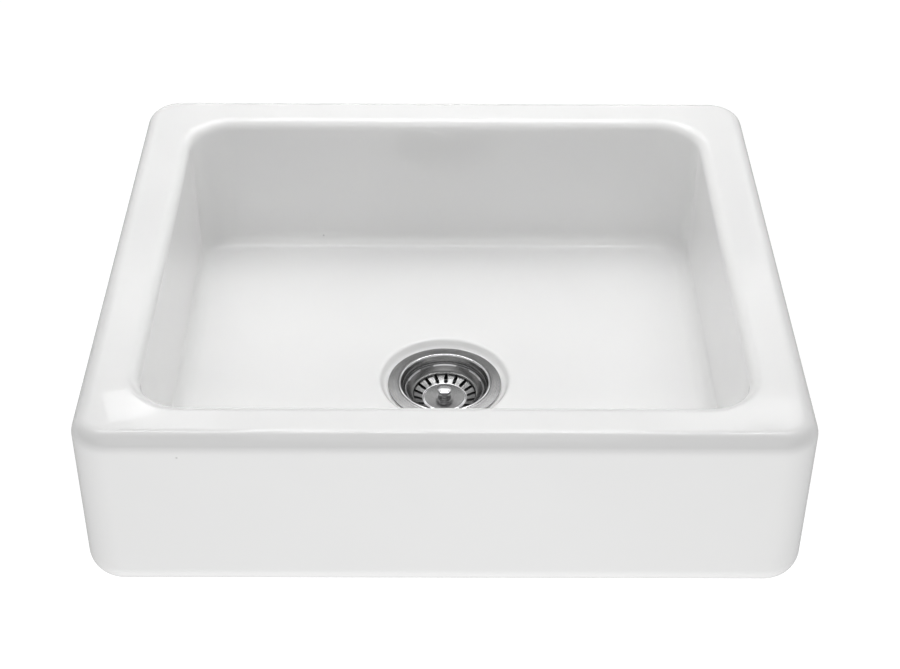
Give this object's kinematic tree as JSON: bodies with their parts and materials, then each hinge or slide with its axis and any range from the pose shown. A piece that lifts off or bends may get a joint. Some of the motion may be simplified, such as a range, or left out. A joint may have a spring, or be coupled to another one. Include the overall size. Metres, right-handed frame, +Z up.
{
  "type": "farmhouse kitchen sink",
  "caption": "Single-bowl farmhouse sink in white glazed fireclay with a tall apron front, broad rounded rims and a lift-out basket strainer waste.",
  "frame": {"origin": "on the drain's vertical axis, in the plane of the foot that the sink sits on", "axes": "+Z up, the apron front faces -Y, +X to the right of someone facing the apron"},
  "size_m": [0.635, 0.57, 0.3111],
  "materials": {
    "fireclay": "gloss glaze",
    "brushed_steel": "brushed",
    "polished_steel": "polished",
    "spring_steel": "bright",
    "brass": "machined",
    "foam": "closed-cell foam",
    "rubber": "matte",
    "dark_plastic": "moulded",
    "white_plastic": "moulded"
  },
  "bodies": {
    "basin": {"sink_body": "fireclay", "strainer_cup": "brushed_steel", "flange_seal": "foam", "underside_gasket": "rubber", "waste_body": "white_plastic", "threaded_insert": "brass", "clamp_screw": "polished_steel", "screw_washer": "polished_steel", "outlet_washer": "rubber", "tailpiece": "white_plastic", "outlet_nut": "white_plastic"},
    "detent": {"detent_ring": "spring_steel"},
    "basket": {"basket_cup": "brushed_steel", "basket_knob": "polished_steel", "basket_stem": "polished_steel", "seal_carrier": "dark_plastic", "basket_seal": "rubber", "seal_retainer": "dark_plastic", "stem_nut": "polished_steel"}
  },
  "joints": [
    {"name": "basket_lift", "type": "slide", "parent": "basin", "child": "detent", "axis": [0, 0, 1], "range_m": [0, 0.205]},
    {"name": "basket_turn", "type": "hinge", "parent": "detent", "child": "basket", "pos_m": [0, 0, -0.0061], "axis": [0, 0, 1], "continuous": true}
  ]
}
